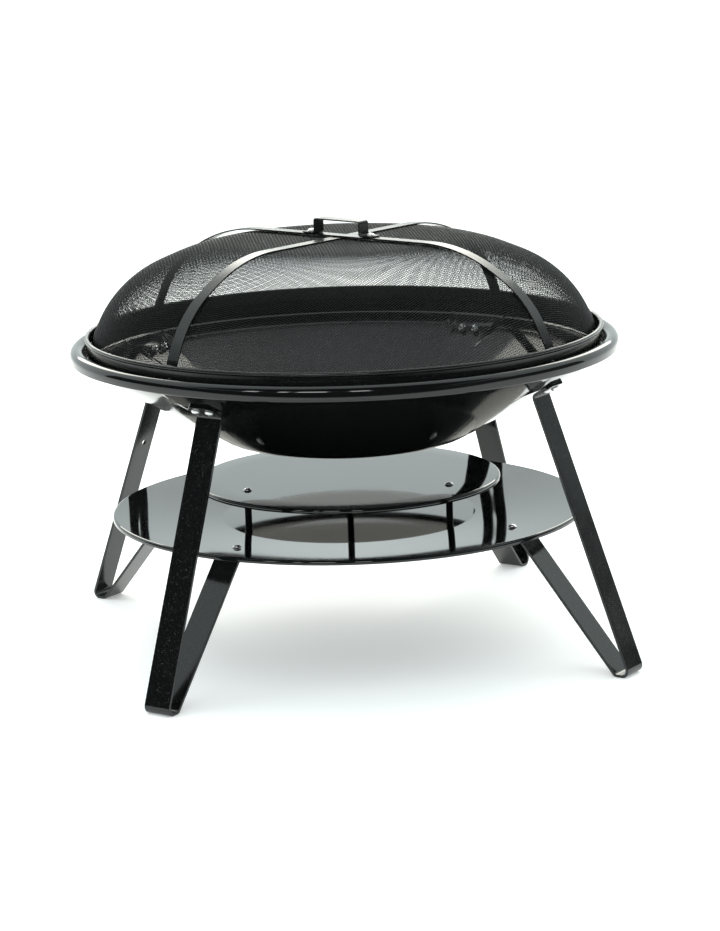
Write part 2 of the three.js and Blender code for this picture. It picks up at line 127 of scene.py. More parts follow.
# Lid
LID_TURN = -5.4                      # the loose lid sits turned a little against the legs, in degrees
RING_INNER = 353.2
RING_SHEET = 1.6
RING_BOTTOM = lowest("lid_ring")
BEAD_RADIUS = 3.2
BEAD_CENTRE = (355.6, highest("lid_ring") - BEAD_RADIUS)
MESH_SHEET = 1.2                     # the CAD's closed shell, which stands in for the cloth
MESH_TOP = highest("lid_mesh")
MESH_MIDDLE = MESH_TOP - MESH_SHEET / 2
MESH_BOTTOM = lowest("lid_mesh")
DOME_CROWN = (190, MESH_MIDDLE, 260)  # corners of the cloth's outline: radius, height and bend
DOME_SHOULDER = (313, MESH_TOP - 52.5, 152)
DOME_SKIRT = (345.9, MESH_BOTTOM + 17, 9)
WIRE_PITCH = 3.175                   # eight wires to the inch
WIRE_RADIUS = 0.36
WIRE_SIDES = 3
WIRE_CRIMP = 0.34                    # how far a wire bends over and under the crossing ones
STRAP_WIDTH = 18
STRAP_SHEET = 2
STRAP_END_RADIUS = 350.2
STRAP_END = RING_BOTTOM + 10
STRAP_CROWN = (212, 230)             # radius and bend of a strap's first corner
STRAP_SHOULDER = (318.5, MESH_TOP - 59, 150)
STRAP_SKIRT = (STRAP_END_RADIUS, STRAP_END + 29, 20)
LOWER_STRAP = MESH_TOP + GAP + STRAP_SHEET / 2
UPPER_STRAP = LOWER_STRAP + STRAP_SHEET + GAP
RIVET_HEIGHT = STRAP_END + 7
RIVET_RADIUS = 2.4
HANDLE_WIDTH = 20
HANDLE_SHEET = 2
HANDLE_SPAN = 41                     # from the middle to the outside of either upright
HANDLE_FOOT = 61
HANDLE_SCREW = 52
HANDLE_BEND = 3
HANDLE_TOP = highest("lid_handle")
HANDLE_SEAT = UPPER_STRAP + STRAP_SHEET / 2 + GAP

# Log grate
GRATE_RADIUS = highest("fire_grate", 0)
GRATE_BOTTOM = lowest("fire_grate")
HOOP_WIDTH = 5
HOOP_HEIGHT = 10
ROD_RADIUS = 4
ROD_PITCH = 36
ROD_COUNT = 9
ROD_RISE = ROD_RADIUS * 0.4          # of a bar's middle above the hoop's top, so it is let into the hoop
TIE_DROP = ROD_RADIUS * 1.2          # of the tie's middle below the bars' middles

# ---------------------------------------------------------------- camera and studio
VIEW_TURN = math.radians(-10.5)      # the camera stands a little to the -X side of the front
CAMERA_DISTANCE = 4.070              # metres, as all places in the studio are
CAMERA_HEIGHT = 1.128
CAMERA_PITCH = math.radians(12.28)
CAMERA_YAW = math.radians(0.235)
CAMERA_ROLL = math.radians(-1.72)
CAMERA_LENS = 115.0
SENSOR_WIDTH = 36
LIGHT_TARGET = (0, 0, 0.35)          # the middle of the fire pit
STRIP_LIGHTS = ((-40, 0.5), (-26, 0.35), (-14, 1.1), (6, 0.7))   # degrees from the view, and width
STRIP_DISTANCE = 5
STRIP_HEIGHTS = (2.5, 3.9)
STRIP_LEVEL = 8
FLOOR_HALF_SPAN = 40
FLOOR_GLOW = 0.28                    # lifts the floor to the white of the backdrop


def in_view(x, y, z):
    """A point given across, along and above the camera's line of sight, in metres."""
    return Matrix.Rotation(VIEW_TURN, 3, "Z") @ Vector((x, y, z))


def add_camera():
    data = bpy.data.cameras.new("camera")
    data.lens = CAMERA_LENS
    data.sensor_width = SENSOR_WIDTH
    camera = bpy.data.objects.new("camera", data)
    turn = Matrix.Rotation(VIEW_TURN - CAMERA_YAW, 4, "Z")
    tilt = Matrix.Rotation(math.pi / 2 - CAMERA_PITCH, 4, "X")
    roll = Matrix.Rotation(CAMERA_ROLL, 4, "Z")
    place = Matrix.Translation(in_view(0, -CAMERA_DISTANCE, CAMERA_HEIGHT))
    camera.matrix_world = place @ turn @ tilt @ roll
    bpy.context.scene.collection.objects.link(camera)
    bpy.context.scene.camera = camera


def add_world(color, strength):
    world = bpy.data.worlds.new("studio")
    world.use_nodes = True
    background = world.node_tree.nodes["Background"]
    background.inputs["Color"].default_value = (*color, 1)
    background.inputs["Strength"].default_value = strength
    bpy.context.scene.world = world


def add_softbox(name, at, size, radiance, color=(1, 1, 1), reflected=True):
    """A soft rectangular light that faces the object and isn't seen by the camera itself."""
    data = bpy.data.lights.new(name, "AREA")
    data.shape = "RECTANGLE"
    data.size, data.size_y = size
    data.energy = radiance * math.pi * size[0] * size[1]
    data.color = color
    light = bpy.data.objects.new(name, data)
    light.location = in_view(*at)
    aim = in_view(*LIGHT_TARGET) - light.location
    light.rotation_euler = aim.to_track_quat("-Z", "Y").to_euler()
    light.visible_camera = False
    light.visible_glossy = reflected
    bpy.context.scene.collection.objects.link(light)


def stage_plane(name, corners, material):
    """A flat face that belongs to the studio and not to the fire pit."""
    mesh = bpy.data.meshes.new(name)
    mesh.from_pydata([tuple(corner) for corner in corners], [], [tuple(range(len(corners)))])
    mesh.materials.append(material)
    plane = bpy.data.objects.new(name, mesh)
    bpy.context.scene.collection.objects.link(plane)
    return plane


def add_flag(name, corners, level):
    """A flat card that only shows in reflections, as a flag or a strip light does in a studio."""
    material = bpy.data.materials.new(name)
    material.use_nodes = True
    tree = material.node_tree
    tree.nodes.clear()
    glow = tree.nodes.new("ShaderNodeEmission")
    glow.inputs["Color"].default_value = (level, level, level, 1)
    output = tree.nodes.new("ShaderNodeOutputMaterial")
    tree.links.new(glow.outputs["Emission"], output.inputs["Surface"])
    flag = stage_plane(name, [in_view(*corner) for corner in corners], material)
    flag.visible_camera = False
    flag.visible_diffuse = False
    flag.visible_shadow = False
    flag.visible_transmission = False


def upright(x, y, width, low, high):
    """Corners of an upright card that faces the object."""
    side = Vector((-y, x)).normalized() * width / 2
    left, right = (x - side.x, y - side.y), (x + side.x, y + side.y)
    return [(*left, low), (*right, low), (*right, high), (*left, high)]


def level_card(near, far, half, height):
    """Corners of a level card between two distances along the line of sight."""
    return [(-half, near, height), (half, near, height), (half, far, height), (-half, far, height)]


def add_strip_lights():
    """Upright bright cards in front of the pit, which give the highlights on its rim."""
    for number, (azimuth, width) in enumerate(STRIP_LIGHTS, start=1):
        angle = math.radians(azimuth)
        x, y = STRIP_DISTANCE * math.sin(angle), -STRIP_DISTANCE * math.cos(angle)
        add_flag(f"strip_light_{number}", upright(x, y, width, *STRIP_HEIGHTS), STRIP_LEVEL)


def add_floor():
    material, shader = shader_material("floor", (0.93, 0.93, 0.93), 0.9)
    shader.inputs["Emission Color"].default_value = (1, 1, 1, 1)
    shader.inputs["Emission Strength"].default_value = FLOOR_GLOW
    half = FLOOR_HALF_SPAN
    stage_plane("floor", [(-half, -half, 0), (half, -half, 0), (half, half, 0), (-half, half, 0)], material)


# ---------------------------------------------------------------- materials
def shader_material(name, color, roughness, metallic=0.0):
    material = bpy.data.materials.new(name)
    material.use_nodes = True
    shader = material.node_tree.nodes["Principled BSDF"]
    shader.inputs["Base Color"].default_value = (*color, 1)
    shader.inputs["Roughness"].default_value = roughness
    shader.inputs["Metallic"].default_value = metallic
    return material, shader


def add_noise(material, scale, detail):
    """A noise pattern fixed to the object, with its scale in features per metre."""
    nodes = material.node_tree.nodes
    coordinates = nodes.new("ShaderNodeTexCoord")
    pattern = nodes.new("ShaderNodeTexNoise")
    pattern.inputs["Scale"].default_value = scale
    pattern.inputs["Detail"].default_value = detail
    material.node_tree.links.new(coordinates.outputs["Object"], pattern.inputs["Vector"])
    return pattern.outputs["Fac"]


def remap(material, value, low, high, to_low, to_high):
    """A value that goes from to_low to to_high as another goes from low to high."""
    node = material.node_tree.nodes.new("ShaderNodeMapRange")
    node.inputs["From Min"].default_value = low
    node.inputs["From Max"].default_value = high
    node.inputs["To Min"].default_value = to_low
    node.inputs["To Max"].default_value = to_high
    material.node_tree.links.new(value, node.inputs["Value"])
    return node.outputs["Result"]


def vary_roughness(material, shader, pattern, span, roughness):
    """Roughness that goes between two values as a pattern crosses its span."""
    value = remap(material, pattern, *span, *roughness)
    material.node_tree.links.new(value, shader.inputs["Roughness"])


def blend_color(material, shader, factor, first, second):
    """Colours the surface from first to second as the factor goes from 0 to 1."""
    node = material.node_tree.nodes.new("ShaderNodeMix")
    node.data_type = "RGBA"
    node.inputs["A"].default_value = (*first, 1)
    node.inputs["B"].default_value = (*second, 1)
    material.node_tree.links.new(factor, node.inputs["Factor"])
    material.node_tree.links.new(node.outputs["Result"], shader.inputs["Base Color"])


def add_bump(material, shader, height, depth):
    """Raises the surface by up to depth millimetres where the height pattern is 1."""
    node = material.node_tree.nodes.new("ShaderNodeBump")
    node.inputs["Strength"].default_value = 1.0
    node.inputs["Distance"].default_value = depth * MM
    material.node_tree.links.new(height, node.inputs["Height"])
    material.node_tree.links.new(node.outputs["Normal"], shader.inputs["Normal"])


def enamel(name, color, roughness, ripple, ripple_depth, dust):
    """Baked enamel: a glassy black coat with a faint ripple and a few specks of dust.

    The ripple's size and depth are in millimetres, and dust is how much a speck covers the coat.
    """
    material, shader = shader_material(name, color, roughness)
    shader.inputs["IOR"].default_value = 1.5
    smears = add_noise(material, scale=14, detail=4)
    vary_roughness(material, shader, smears, (0.35, 0.7), (roughness * 0.8, roughness * 1.35))
    specks = remap(material, add_noise(material, scale=900, detail=1), 0.68, 0.8, 0, dust)
    blend_color(material, shader, specks, color, (0.35, 0.36, 0.35))
    waves = add_noise(material, scale=1 / (ripple * MM), detail=1)
    add_bump(material, shader, waves, ripple_depth)
    return material


def zinc_plate(name):
    """Bright zinc plating, a little clouded and finely grained."""
    material, shader = shader_material(name, (0.85, 0.86, 0.86), 0.3, metallic=1.0)
    clouds = add_noise(material, scale=260, detail=4)
    vary_roughness(material, shader, clouds, (0.3, 0.7), (0.22, 0.42))
    blend_color(material, shader, clouds, (0.74, 0.76, 0.77), (0.92, 0.92, 0.91))
    add_bump(material, shader, add_noise(material, scale=2200, detail=2), 0.02)
    return material


def rough_black(name):
    """Matt high-heat paint over rough hot-rolled steel."""
    material, shader = shader_material(name, (0.016, 0.016, 0.017), 0.6)
    scale_marks = add_noise(material, scale=90, detail=6)
    vary_roughness(material, shader, scale_marks, (0.3, 0.7), (0.5, 0.78))
    blend_color(material, shader, scale_marks, (0.010, 0.010, 0.011), (0.034, 0.032, 0.030))
    add_bump(material, shader, add_noise(material, scale=500, detail=5), 0.15)
    return material


# ---------------------------------------------------------------- outlines
def unit(vector):
    return vector / np.linalg.norm(vector)


def rounded_path(corners, step):
    """A path through (x, y, bend) corners, each rounded to its bend radius, step giving degrees."""
    points = [np.array(corners[0][:2], float)]
    for before, (x, y, bend), after in zip(corners, corners[1:-1], corners[2:]):
        at = np.array((x, y), float)
        back = unit(np.array(before[:2], float) - at)
        ahead = unit(np.array(after[:2], float) - at)
        turn = math.pi - math.acos(float(np.clip(back @ ahead, -1, 1)))
        reach = bend * math.tan(turn / 2)
        centre = at + unit(back + ahead) * bend / math.cos(turn / 2)
        spoke = at + back * reach - centre
        end = at + ahead * reach - centre
        way = math.copysign(turn, spoke[0] * end[1] - spoke[1] * end[0])
        steps = max(2, math.ceil(math.degrees(turn) / step))
        for k in range(steps + 1):
            points.append(centre + rotated(spoke, way * k / steps))
    points.append(np.array(corners[-1][:2], float))
    return np.array(points)


def rotated(vector, angle):
    c, s = math.cos(angle), math.sin(angle)
    return np.array((c * vector[0] - s * vector[1], s * vector[0] + c * vector[1]))


def refined(path, spacing):
    """The path with its long stretches split, spacing(x, y) giving the longest step allowed there."""
    points = [path[0]]
    for start, end in zip(path, path[1:]):
        middle = (start + end) / 2
        length = np.linalg.norm(end - start)
        parts = max(1, math.ceil(length / spacing(*middle)))
        points.extend(start + (end - start) * k / parts for k in range(1, parts + 1))
    return np.array(points)


def offset_path(path, distance):
    """The path moved sideways, to its left, by a distance."""
    steps = np.diff(path, axis=0)
    steps = steps / np.linalg.norm(steps, axis=1)[:, None]
    into = np.vstack((steps[:1], steps))
    out = np.vstack((steps, steps[-1:]))
    along = into + out
    along = along / np.linalg.norm(along, axis=1)[:, None]
    miter = distance / np.maximum((along * into).sum(axis=1), 0.5)
    return path + np.column_stack((-along[:, 1], along[:, 0])) * miter[:, None]


def arc(centre, radius, start, end, steps):
    """Points round an arc, with its angles in degrees."""
    angles = np.radians(np.linspace(start, end, steps + 1))
    return np.column_stack((centre[0] + radius * np.cos(angles), centre[1] + radius * np.sin(angles)))


def sheet_outline(path, thickness):
    """The outline of a sheet that follows a path, square where it starts and rounded where it ends."""
    right = offset_path(path, -thickness / 2)
    left = offset_path(path, thickness / 2)
    heading = math.degrees(math.atan2(*(path[-1] - path[-2])[::-1]))
    edge = arc(path[-1], thickness / 2, heading - 90, heading + 90, 6)
    return np.vstack((right[:-1], edge, left[::-1][1:]))


# ---------------------------------------------------------------- shapes: (vertices, faces)
def turned(outline, angles, ring=False):
    """An outline of (radius, height) points turned about Z. A ring's outline closes on itself."""
    radii = np.maximum(outline[:, 0], 0)[:, None]
    heights = np.repeat(outline[:, 1:2], len(angles), axis=1)
    vertices = np.stack((radii * np.cos(angles), radii * np.sin(angles), heights), axis=-1).reshape(-1, 3)
    faces = []
    steps = len(angles)
    rows = len(outline) if ring else len(outline) - 1
    for row in range(rows):
        a = row * steps
        b = ((row + 1) % len(outline)) * steps
        for j in range(steps):
            k = (j + 1) % steps
            faces.append((a + j, a + k, b + k, b + j))
    return vertices, faces


def even_angles(steps):
    return np.linspace(0, 2 * math.pi, steps, endpoint=False)


def strip(path, thickness, widths):
    """A flat strip bent along a path of radius (X) and height (Z), its width along Y given at each point."""
    left = offset_path(path, thickness / 2)
    right = offset_path(path, -thickness / 2)
    half = np.asarray(widths, float) / 2
    count = len(path)
    lines = [(left, half), (left, -half), (right, -half), (right, half)]
    vertices = np.vstack([np.column_stack((line[:, 0], across, line[:, 1])) for line, across in lines])
    faces = []
    for i in range(count - 1):
        for k in range(4):
            a, b = k * count + i, ((k + 1) % 4) * count + i
            faces.append((a, a + 1, b + 1, b))
    faces.append(tuple(k * count for k in range(4)))
    faces.append(tuple(k * count + count - 1 for k in range(4)))
    return vertices, faces


def moved(shape, matrix):
    vertices, faces = shape
    rows = np.array(matrix)
    return vertices @ rows[:3, :3].T + rows[:3, 3], faces


def joined(shapes):
    vertices, faces, start = [], [], 0
    for points, sides in shapes:
        vertices.append(points)
        faces.extend(tuple(start + i for i in side) for side in sides)
        start += len(points)
    return np.concatenate(vertices), faces


def blob(length, width, height, seed):
    """A small uneven bead of weld metal, lying along X."""
    ball = bmesh.new()
    bmesh.ops.create_icosphere(ball, subdivisions=3, radius=1)
    points = []
    for vertex in ball.verts:
        x, y, z = vertex.co
        swell = 1 + 0.22 * noise.noise(vertex.co * 2.2 + Vector((seed * 3.1, 0, 0)))
        points.append((x * length / 2 * swell, y * width / 2 * swell, z * height / 2 * swell))
    faces = [tuple(vertex.index for vertex in face.verts) for face in ball.faces]
    ball.free()
    return np.array(points), faces


def rod(start, end, radius):
    """A round rod between two points, with softly broken ends."""
    start, end = Vector(start), Vector(end)
    length = (end - start).length
    soft = radius * 0.15
    outline = np.array([
        (0, 0), (radius - soft, 0), (radius, soft),
        (radius, length - soft), (radius - soft, length), (0, length),
    ])
    turn = (end - start).to_track_quat("Z", "Y").to_matrix().to_4x4()
    return moved(turned(outline, even_angles(20)), Matrix.Translation(start) @ turn)


# ---------------------------------------------------------------- places
def about_z(degrees):
    return Matrix.Rotation(math.radians(degrees), 4, "Z")


def at(x, y, z):
    return Matrix.Translation((x, y, z))


UPSIDE_DOWN = Matrix.Rotation(math.pi, 4, "X")


def on_wall(radius, offset=0.0):
    """(radius, height) of a point on the outside of the bowl's wall, moved outwards by an offset."""
    height = WALL_REFERENCE[1] + (radius - WALL_REFERENCE[0]) * math.tan(WALL_ANGLE)
    return radius + offset * math.sin(WALL_ANGLE), height - offset * math.cos(WALL_ANGLE)


def wall_place(azimuth, radius, offset, side=0.0):
    """Where +Z is the wall's inward normal, at a radius along it and an offset outwards."""
    x, z = on_wall(radius, offset)
    return about_z(azimuth) @ at(x, side, z) @ Matrix.Rotation(-WALL_ANGLE, 4, "Y")


def shelf_underside(radius):
    return SHELF_TOP - SHEET + (radius - SHELF_CREASE) * SHELF_RISE / (SHELF_RADIUS - SHELF_CREASE)


# ---------------------------------------------------------------- pieces
def make_piece(name, shape, material, body, nodes, bevel=0.0, sharp=38.0, cleaned=True):
    """A smooth-shaded object made from a shape in millimetres, on its body and in place of its CAD nodes."""
    vertices, faces = shape
    mesh = bpy.data.meshes.new(name)
    mesh.from_pydata((vertices * MM).tolist(), [], faces)
    if cleaned:
        work = bmesh.new()
        work.from_mesh(mesh)
        bmesh.ops.remove_doubles(work, verts=work.verts, dist=1e-6)
        bmesh.ops.recalc_face_normals(work, faces=work.faces)
        work.to_mesh(mesh)
        work.free()
    mesh.materials.append(material)
    mesh.shade_smooth()
    mesh.set_sharp_from_angle(angle=math.radians(sharp))
    obj = bpy.data.objects.new(name, mesh)
    bpy.context.scene.collection.objects.link(obj)
    if bevel:
        edges = obj.modifiers.new("soft edges", "BEVEL")
        edges.width = bevel * MM
        edges.segments = 2
        edges.limit_method = "ANGLE"
        edges.angle_limit = math.radians(40)
        edges.harden_normals = True
    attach(obj, body)
    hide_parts(*nodes)
    return obj


def drill(obj, places, radius, depth):
    """Cuts round holes through a piece, each along the Z of its place."""
    outline = np.array([(0, -depth), (radius, -depth), (radius, depth), (0, depth)])
    holes = joined([moved(turned(outline, even_angles(32)), place) for place in places])
    mesh = bpy.data.meshes.new("holes")
    mesh.from_pydata((holes[0] * MM).tolist(), [], holes[1])
    work = bmesh.new()
    work.from_mesh(mesh)
    bmesh.ops.remove_doubles(work, verts=work.verts, dist=1e-6)
    bmesh.ops.recalc_face_normals(work, faces=work.faces)
    work.to_mesh(mesh)
    work.free()
    cutter = bpy.data.objects.new("holes", mesh)
    bpy.context.scene.collection.objects.link(cutter)
    bevels = [modifier for modifier in obj.modifiers if modifier.type == "BEVEL"]
    for modifier in bevels:
        modifier.show_viewport = False
    cut = obj.modifiers.new("holes", "BOOLEAN")
    cut.operation = "DIFFERENCE"
    cut.object = cutter
    bpy.context.view_layer.update()
    graph = bpy.context.evaluated_depsgraph_get()
    obj.data = bpy.data.meshes.new_from_object(obj.evaluated_get(graph))
    obj.modifiers.remove(cut)
    for modifier in bevels:
        modifier.show_viewport = True
    bpy.data.objects.remove(cutter)


def bolt_shape(length, threaded):
    """A bolt along Z: a washer and a low domed head above z = 0, a threaded shank below."""
    outline = [(0, -length), (BOLT_RADIUS - 0.7, -length)]
    turns = int(threaded / THREAD_PITCH)
    start = -length + 0.4
    for k in range(turns):
        foot = start + k * THREAD_PITCH
        outline += [(BOLT_RADIUS - THREAD_DEPTH, foot), (BOLT_RADIUS, foot + THREAD_PITCH / 2)]
    shank = BOLT_RADIUS - 0.1
    outline += [(shank, start + turns * THREAD_PITCH), (shank, 0)]
    rim, soft = HEAD_RADIUS, 0.2
    outline += [(rim - soft, 0), (rim, soft), (rim, WASHER_HEIGHT - soft), (rim - soft, WASHER_HEIGHT)]
    dome, foot = HEAD_RADIUS * 0.86, WASHER_HEIGHT + 0.15
    for angle in np.radians(np.linspace(0, 90, 9)):
        outline.append((dome * math.cos(angle), foot + (HEAD_HEIGHT - foot) * math.sin(angle)))
    return turned(np.array(outline), even_angles(32))


def nut_shape():
    """A hex nut from z = 0 up, with its corners chamfered top and bottom and a threaded bore."""
    steps = 48
    angles = even_angles(steps)
    flat = NUT_RADIUS * math.cos(math.pi / 6)
    wrapped = (angles + math.pi / 6) % (math.pi / 3) - math.pi / 6
    corner = flat / np.cos(wrapped)
    drop = (corner - flat) * math.tan(math.radians(32)) + 0.25
    bore = BOLT_RADIUS + 0.1
    rows = [
        (np.full(steps, bore), np.full(steps, 0.4)),
        (np.full(steps, bore + 0.5), np.zeros(steps)),
        (np.full(steps, flat - 0.3), np.zeros(steps)),
        (corner, drop),
        (corner, NUT_HEIGHT - drop),
        (np.full(steps, flat - 0.3), np.full(steps, NUT_HEIGHT)),
        (np.full(steps, bore + 0.5), np.full(steps, NUT_HEIGHT)),
        (np.full(steps, bore), np.full(steps, NUT_HEIGHT - 0.4)),
    ]
    vertices = np.vstack([np.column_stack((r * np.cos(angles), r * np.sin(angles), z)) for r, z in rows])
    faces = []
    for row in range(len(rows)):
        a, b = row * steps, ((row + 1) % len(rows)) * steps
        for j in range(steps):
            k = (j + 1) % steps
            faces.append((a + j, a + k, b + k, b + j))
    return vertices, faces


def add_bolt(name, place, length, threaded):
    shape = moved(bolt_shape(length, threaded), place)
    make_piece(name, shape, ZINC, body_of(name), [name], sharp=32)


def add_nut(name, place):
    make_piece(name, moved(nut_shape(), place), ZINC, body_of(name), [name], sharp=25)


def body_of(node):
    return "lid" if node.startswith(("lid_", "strap_", "handle_")) else "frame"


# ---------------------------------------------------------------- bowl
def bowl_columns():
    """Angles round the bowl, close together across the four pressed flats."""
    coarse, fine, reach = 1.8, 0.36, 9.0
    angles = []
    for azimuth in LEGS.values():
        angles.extend(np.arange(azimuth - reach, azimuth + reach, fine))
        angles.extend(np.arange(azimuth + reach, azimuth + 90 - reach, coarse))
    return np.radians(np.array(angles))


def smooth_step(value):
    value = np.clip(value, 0, 1)
    return value * value * (3 - 2 * value)


def press_flats(vertices):
    """Presses a flat into the wall behind each leg."""
    pressed = vertices.copy()
    for azimuth in LEGS.values():
        angle = math.radians(azimuth)
        ahead = pressed[:, 0] * math.cos(angle) + pressed[:, 1] * math.sin(angle)
        side = -pressed[:, 0] * math.sin(angle) + pressed[:, 1] * math.cos(angle)
        radius = np.hypot(ahead, side)
        half = np.interp(radius, PAD_RADII, PAD_HALF_WIDTHS)
        inside = smooth_step((ahead - PAD_RADII[0]) / PAD_CREASE)
        inside *= smooth_step((PAD_RADII[1] - ahead) / PAD_CREASE)
        inside *= smooth_step((half - np.abs(side)) / PAD_CREASE + 0.5)
        inside *= pressed[:, 2] < on_wall(PAD_RADII[1] + 10)[1]
        depth = inside * (PAD_DEPTH + (radius - ahead) * math.sin(WALL_ANGLE))
        pressed[:, 0] += depth * math.sin(WALL_ANGLE) * math.cos(angle)
        pressed[:, 1] += depth * math.sin(WALL_ANGLE) * math.sin(angle)
        pressed[:, 2] -= depth * math.cos(WALL_ANGLE)
    return pressed


def add_bowl():
    riser = RIM_RADIUS - BOWL_SKIN - 2 * RIM_ROLL
    wall_foot = (FLOOR_HEIGHT - on_wall(0, -BOWL_SKIN)[1]) / math.tan(WALL_ANGLE)
    path = rounded_path([
        (0, FLOOR_HEIGHT),
        (wall_foot, FLOOR_HEIGHT, FLOOR_BEND),
        (riser, on_wall(riser, -BOWL_SKIN)[1], RIM_FOOT_BEND),
        (riser, RIM_TOP - BOWL_SKIN, RIM_ROLL - 0.05),
        (RIM_RADIUS - BOWL_SKIN, RIM_TOP - BOWL_SKIN, RIM_ROLL - 0.05),
        (RIM_RADIUS - BOWL_SKIN, RIM_TOP - RIM_LIP),
    ], step=8)
    near_flats = PAD_RADII[0] - 6, PAD_RADII[1] + 4
    path = refined(path, lambda x, y: 2.2 if near_flats[0] < x < near_flats[1] else 22)
    vertices, faces = turned(sheet_outline(path, BOWL_SHEET), bowl_columns())
    shape = press_flats(vertices), faces
    make_piece("bowl_shell", shape, BOWL, "frame", ["bowl"], sharp=50)


# ---------------------------------------------------------------- legs and their fasteners
def leg_shape():
    tip_radius = LEG_FLANGE_TIP - LEG_CHAMFER * math.cos(WALL_ANGLE)
    path = rounded_path([
        on_wall(tip_radius, LEG_OFFSET),
        (*on_wall(LEG_FLANGE_BEND, LEG_OFFSET), LEG_TOP_BEND),
        (FOOT_OUTER, LEG_SHEET / 2, LEG_BEND),
        (FOOT_INNER, LEG_SHEET / 2, LEG_BEND),
        (SHELF_FLANGE_BEND, shelf_underside(SHELF_FLANGE_BEND) - GAP - LEG_SHEET / 2, LEG_BEND),
        (SHELF_FLANGE_TIP, shelf_underside(SHELF_FLANGE_TIP) - GAP - LEG_SHEET / 2),
    ], step=6)
    path = np.vstack((on_wall(LEG_FLANGE_TIP, LEG_OFFSET), path))
    widths = np.full(len(path), float(LEG_WIDTH))
    widths[0] -= 2 * LEG_CHAMFER
    return strip(path, LEG_SHEET, widths)


def leg_holes(azimuth):
    """Places of the spare holes in a rear leg's outer side."""
    top_x, top_z = on_wall(LEG_FLANGE_BEND, LEG_OFFSET)
    heel = LEG_SHEET / 2
    lean = (FOOT_OUTER - top_x) / (top_z - heel)
    places = []
    for height in SPARE_HOLE_HEIGHTS:
        across = Matrix.Rotation(math.pi / 2 - math.atan(lean), 4, "Y")
        places.append(about_z(azimuth) @ at(FOOT_OUTER - (height - heel) * lean, 0, height) @ across)
    return places


def add_leg(name, azimuth):
    shape = moved(leg_shape(), about_z(azimuth))
    leg = make_piece(f"leg_{name}_strip", shape, LEG, "frame", [f"leg_{name}"], bevel=0.5)
    if name.startswith("rear"):
        drill(leg, leg_holes(azimuth), SPARE_HOLE, 12)
    grip = PAD_DEPTH + GAP + LEG_SHEET
    for number, side in enumerate((-1, 1), start=1):
        spread = side * BOWL_BOLT_SPREAD
        length = grip + BOWL_SHEET + 2 * GAP + NUT_HEIGHT + BOLT_TAIL
        head = wall_place(azimuth, BOWL_BOLT_RADIUS, grip + GAP, spread) @ UPSIDE_DOWN
        add_bolt(f"bowl_bolt_{name}_{number}", head, length, NUT_HEIGHT + BOLT_TAIL)
        twist = about_z(17 * number + azimuth / 5)
        seat = wall_place(azimuth, BOWL_BOLT_RADIUS, PAD_DEPTH - BOWL_SHEET - GAP, spread)
        add_nut(f"bowl_nut_{name}_{number}", seat @ twist)
    shelf_top = shelf_underside(SHELF_BOLT_RADIUS) + SHEET
    flange_bottom = shelf_top - SHEET - GAP - LEG_SHEET
    length = shelf_top + SLOPED_SEAT - flange_bottom + NUT_HEIGHT + BOLT_TAIL
    hole = about_z(azimuth) @ at(SHELF_BOLT_RADIUS, 0, 0)
    add_bolt(f"shelf_bolt_{name}", hole @ at(0, 0, shelf_top + SLOPED_SEAT), length, NUT_HEIGHT + BOLT_TAIL)
    add_nut(f"shelf_nut_{name}", hole @ at(0, 0, flange_bottom - SLOPED_SEAT - NUT_HEIGHT))


# ---------------------------------------------------------------- shelf and heat shield
def add_disc(name, node, path):
    path = refined(path, lambda x, y: 40)
    shape = turned(sheet_outline(path, SHEET), even_angles(288))
    make_piece(name, shape, SHELF, "frame", [node], sharp=50)


def add_shelf():
    edge = SHELF_RADIUS - SHEET / 2
    top = SHELF_TOP - SHEET / 2
    add_disc("shelf_dish", "shelf_plate", rounded_path([
        (0, top),
        (SHELF_CREASE, top, SHELF_CREASE_BEND),
        (edge, top + SHELF_RISE, EDGE_BEND),
        (edge, top + SHELF_RISE - EDGE_LIP + SHEET / 2),
    ], step=1.0))


def add_shield():
    edge = SHIELD_RADIUS - SHEET / 2
    top = SHIELD_TOP - SHEET / 2
    add_disc("heat_shield_disc", "heat_shield", rounded_path([
        (0, top),
        (edge, top, EDGE_BEND),
        (edge, top - EDGE_LIP + SHEET / 2),
    ], step=12))
    underside = SHELF_TOP - SHEET
    for number, azimuth in enumerate(POST_ANGLES, start=1):
        place = about_z(azimuth) @ at(POST_CIRCLE, 0, 0)
        low, high = SHELF_TOP + GAP, SHIELD_TOP - SHEET - GAP
        bore, soft = BOLT_RADIUS + 0.5, 0.5
        tube = turned(np.array([
            (bore, low), (POST_RADIUS - soft, low), (POST_RADIUS, low + soft),
            (POST_RADIUS, high - soft), (POST_RADIUS - soft, high), (bore, high),
        ]), even_angles(32), ring=True)
        post = f"shield_post_{number}"
        make_piece(f"{post}_tube", moved(tube, place), POST, "frame", [post], sharp=30)
        length = SHIELD_TOP + GAP - underside + NUT_HEIGHT + BOLT_TAIL
        add_bolt(f"shield_bolt_{number}", place @ at(0, 0, SHIELD_TOP + GAP), length, NUT_HEIGHT + BOLT_TAIL)
        seat = place @ at(0, 0, underside - GAP - NUT_HEIGHT)
        add_nut(f"shield_nut_{number}", seat @ about_z(20 * number))


# ---------------------------------------------------------------- lid
def dome_profile():
    return refined(rounded_path([
        (0, MESH_MIDDLE),
        DOME_CROWN,
        DOME_SHOULDER,
        DOME_SKIRT,
        (DOME_SKIRT[0], MESH_BOTTOM + MESH_SHEET / 2),
    ], step=2), lambda x, y: 8)


